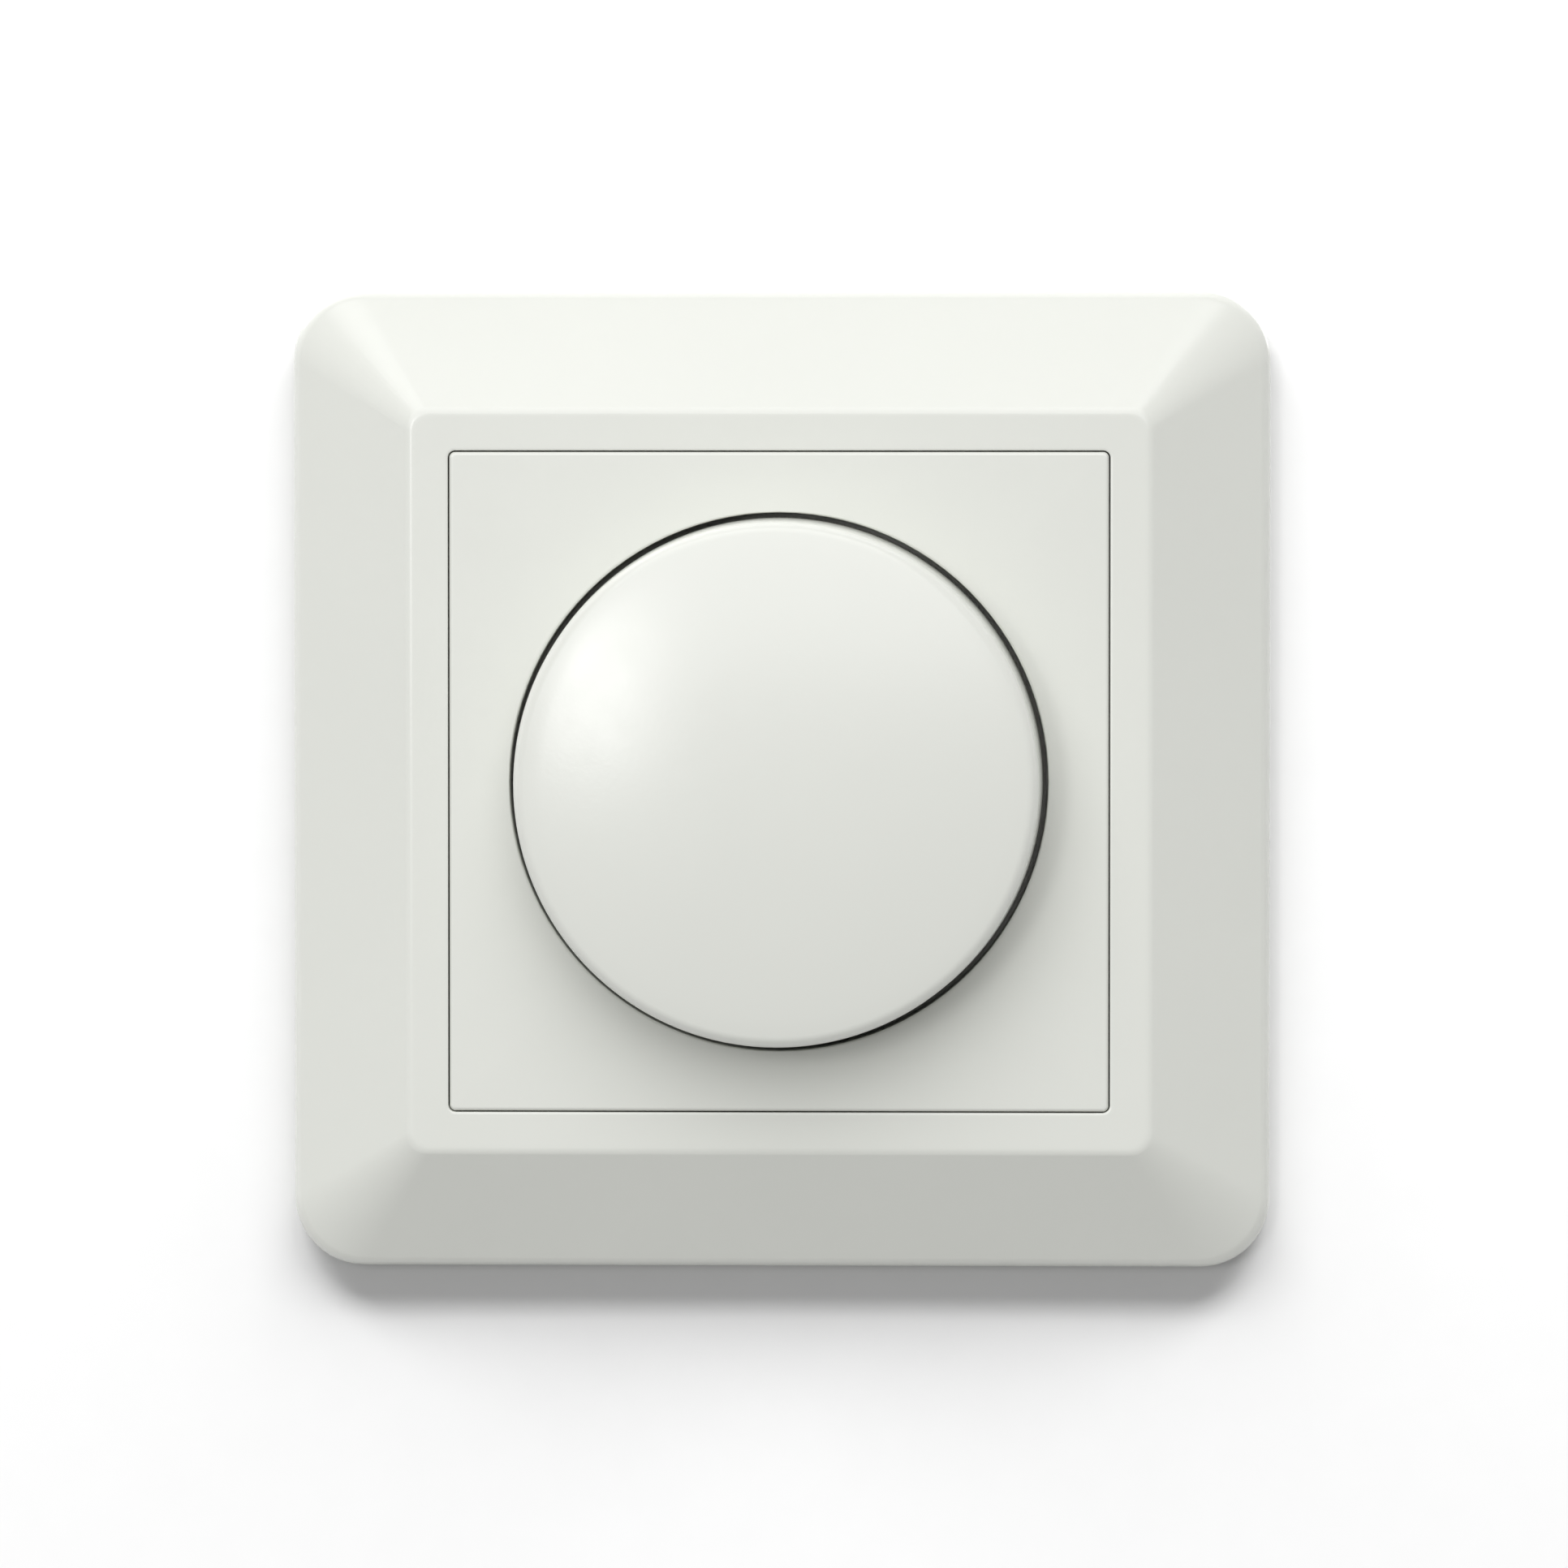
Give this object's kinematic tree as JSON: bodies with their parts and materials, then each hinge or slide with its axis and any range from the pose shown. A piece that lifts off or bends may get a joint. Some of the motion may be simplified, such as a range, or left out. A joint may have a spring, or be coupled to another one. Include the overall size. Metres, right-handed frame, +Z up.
{
  "type": "rotary wall dimmer",
  "caption": "Flush-mounted rotary push dimmer: square bevelled cover frame, centre plate with a round well, large knob, and a dimmer insert with spreading claws for a round wall box.",
  "frame": {"origin": "on the wall's surface, on the knob's axis", "axes": "+X to the right seen from the room, +Y into the wall, +Z up; the knob faces -Y"},
  "size_m": [0.082, 0.045, 0.082],
  "materials": {
    "white_plastic": "satin",
    "black_plastic": "matte",
    "grey_plastic": "matte",
    "ivory_plastic": "matte",
    "zinc_steel": "satin",
    "bright_steel": "satin",
    "brass": "satin",
    "aluminium": "satin",
    "copper": "gloss",
    "ferrite": "matte",
    "board_laminate": "satin",
    "phenolic": "matte",
    "glass": "gloss",
    "film_case": "satin",
    "ceramic_body": "satin",
    "resistor_body": "satin",
    "blue_body": "satin"
  },
  "bodies": {
    "root": {"cover_frame": "white_plastic", "centre_plate": "white_plastic", "pot_bush": "brass", "retaining_nut": "zinc_steel", "lock_washer": "bright_steel", "support_plate": "zinc_steel", "box_screw_top": "bright_steel", "box_screw_bottom": "bright_steel", "housing_screw_left": "bright_steel", "housing_screw_right": "bright_steel", "housing_base": "black_plastic", "housing_lid": "grey_plastic", "claw_pin_left": "bright_steel", "claw_pin_right": "bright_steel", "circuit_board": "board_laminate", "pot_case": "black_plastic", "pot_track": "phenolic", "switch_case": "black_plastic", "return_spring": "bright_steel", "heat_sink": "aluminium", "triac": "black_plastic", "triac_rivet": "aluminium", "choke_core": "ferrite", "choke_winding": "copper", "film_capacitor": "film_case", "small_capacitor": "ceramic_body", "resistor": "resistor_body", "diac": "blue_body", "fuse_tube": "glass", "fuse_cap_left": "bright_steel", "fuse_cap_right": "bright_steel", "fuse_clip_left": "brass", "fuse_clip_right": "brass", "trimmer_base": "blue_body", "terminal_cage_1": "brass", "terminal_cage_2": "brass", "terminal_cage_3": "brass"},
    "rotor": {"pot_rotor": "ivory_plastic", "pot_wiper": "brass"},
    "knob": {"knob": "white_plastic", "knob_clip": "bright_steel", "shaft": "grey_plastic", "shaft_circlip": "bright_steel"},
    "plunger": {"switch_plunger": "ivory_plastic"},
    "claw_left": {"claw_left": "zinc_steel"},
    "claw_right": {"claw_right": "zinc_steel"},
    "claw_screw_left": {"claw_screw_left": "bright_steel"},
    "claw_screw_right": {"claw_screw_right": "bright_steel"},
    "trimmer": {"trimmer_rotor": "ivory_plastic"},
    "terminal_plate_1": {"terminal_plate_1": "brass"},
    "terminal_screw_1": {"terminal_screw_1": "bright_steel"},
    "terminal_plate_2": {"terminal_plate_2": "brass"},
    "terminal_screw_2": {"terminal_screw_2": "bright_steel"},
    "terminal_plate_3": {"terminal_plate_3": "brass"},
    "terminal_screw_3": {"terminal_screw_3": "bright_steel"}
  },
  "joints": [
    {"name": "knob_turn", "type": "hinge", "parent": "root", "child": "rotor", "pos_m": [0, 0, 0], "axis": [0, 1, 0], "range_deg": [-135, 135]},
    {"name": "knob_push", "type": "slide", "parent": "rotor", "child": "knob", "axis": [0, 1, 0], "range_m": [0, 0.002], "stiffness_N_per_m": 1500, "springref_m": -0.002, "deforming": ["return_spring"]},
    {"name": "plunger_slide", "type": "slide", "parent": "root", "child": "plunger", "axis": [0, 1, 0], "range_m": [0, 0.002]},
    {"name": "claw_screw_left_turn", "type": "hinge", "parent": "root", "child": "claw_screw_left", "pos_m": [-0.0264, 0, 0], "axis": [0, 1, 0], "range_deg": [0, 720]},
    {"name": "claw_left_swing", "type": "hinge", "parent": "root", "child": "claw_left", "pos_m": [-0.0239, 0.008, 0], "axis": [0, 0, 1], "range_deg": [0, 25]},
    {"name": "claw_screw_right_turn", "type": "hinge", "parent": "root", "child": "claw_screw_right", "pos_m": [0.0264, 0, 0], "axis": [0, 1, 0], "range_deg": [0, 720]},
    {"name": "claw_right_swing", "type": "hinge", "parent": "root", "child": "claw_right", "pos_m": [0.0239, 0.008, 0], "axis": [0, 0, -1], "range_deg": [0, 25]},
    {"name": "trimmer_turn", "type": "hinge", "parent": "root", "child": "trimmer", "pos_m": [0.0134, 0, -0.013], "axis": [0, 1, 0], "range_deg": [-120, 120]},
    {"name": "terminal_plate_1_slide", "type": "slide", "parent": "root", "child": "terminal_plate_1", "axis": [0, 0, 1], "range_m": [0, 0.0024]},
    {"name": "terminal_screw_1_turn", "type": "hinge", "parent": "terminal_plate_1", "child": "terminal_screw_1", "pos_m": [-0.0095, 0.0185, -0.0201], "axis": [0, 0, 1], "range_deg": [0, 1440]},
    {"name": "terminal_plate_2_slide", "type": "slide", "parent": "root", "child": "terminal_plate_2", "axis": [0, 0, 1], "range_m": [0, 0.0024]},
    {"name": "terminal_screw_2_turn", "type": "hinge", "parent": "terminal_plate_2", "child": "terminal_screw_2", "pos_m": [0, 0.0185, -0.0201], "axis": [0, 0, 1], "range_deg": [0, 1440]},
    {"name": "terminal_plate_3_slide", "type": "slide", "parent": "root", "child": "terminal_plate_3", "axis": [0, 0, 1], "range_m": [0, 0.0024]},
    {"name": "terminal_screw_3_turn", "type": "hinge", "parent": "terminal_plate_3", "child": "terminal_screw_3", "pos_m": [0.0095, 0.0185, -0.0201], "axis": [0, 0, 1], "range_deg": [0, 1440]}
  ],
  "couplings": [
    {"joint": "plunger_slide", "follows": "knob_push", "ratio": 1},
    {"joint": "claw_left_swing", "follows": "claw_screw_left_turn", "ratio": 0.034722},
    {"joint": "claw_right_swing", "follows": "claw_screw_right_turn", "ratio": 0.034722},
    {"joint": "terminal_screw_1_turn", "follows": "terminal_plate_1_slide", "rad_per_m": 10472},
    {"joint": "terminal_screw_2_turn", "follows": "terminal_plate_2_slide", "rad_per_m": 10472},
    {"joint": "terminal_screw_3_turn", "follows": "terminal_plate_3_slide", "rad_per_m": 10472}
  ]
}
